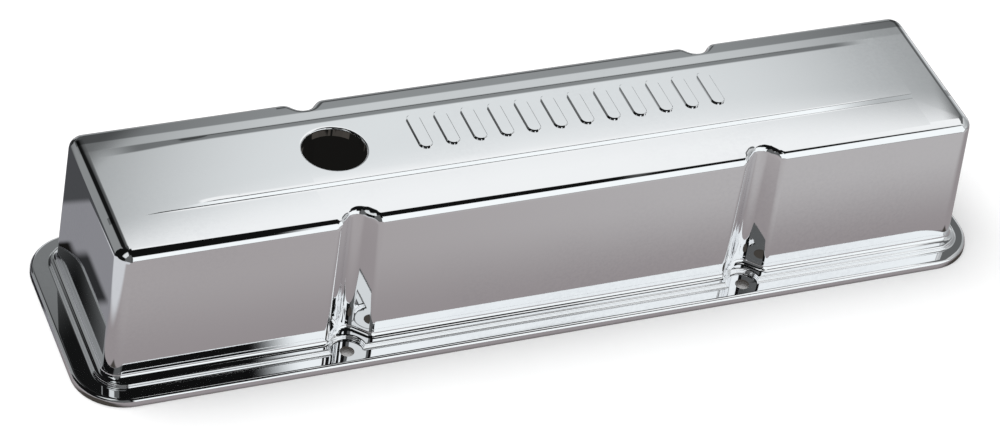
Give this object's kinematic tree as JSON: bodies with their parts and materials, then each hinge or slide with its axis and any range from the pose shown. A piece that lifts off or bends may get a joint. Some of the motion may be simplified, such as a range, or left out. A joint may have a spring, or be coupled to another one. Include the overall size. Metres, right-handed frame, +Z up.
{
  "type": "engine valve cover",
  "caption": "Tall pressed-steel engine valve cover, a long box open below with a gasket flange, upright bolt grooves, a raised top panel and a filler hole.",
  "frame": {"origin": "middle of the gasket flange's footprint, on the plane that the turned-down lip stands on", "axes": "+X along the cover, away from the filler hole; -Y the front long side; +Z up, out through the top"},
  "size_m": [0.4694, 0.1206, 0.0843],
  "materials": {
    "chrome_plate": "bright chrome plate"
  },
  "bodies": {
    "root": {"cover_shell": "chrome_plate"}
  },
  "joints": []
}
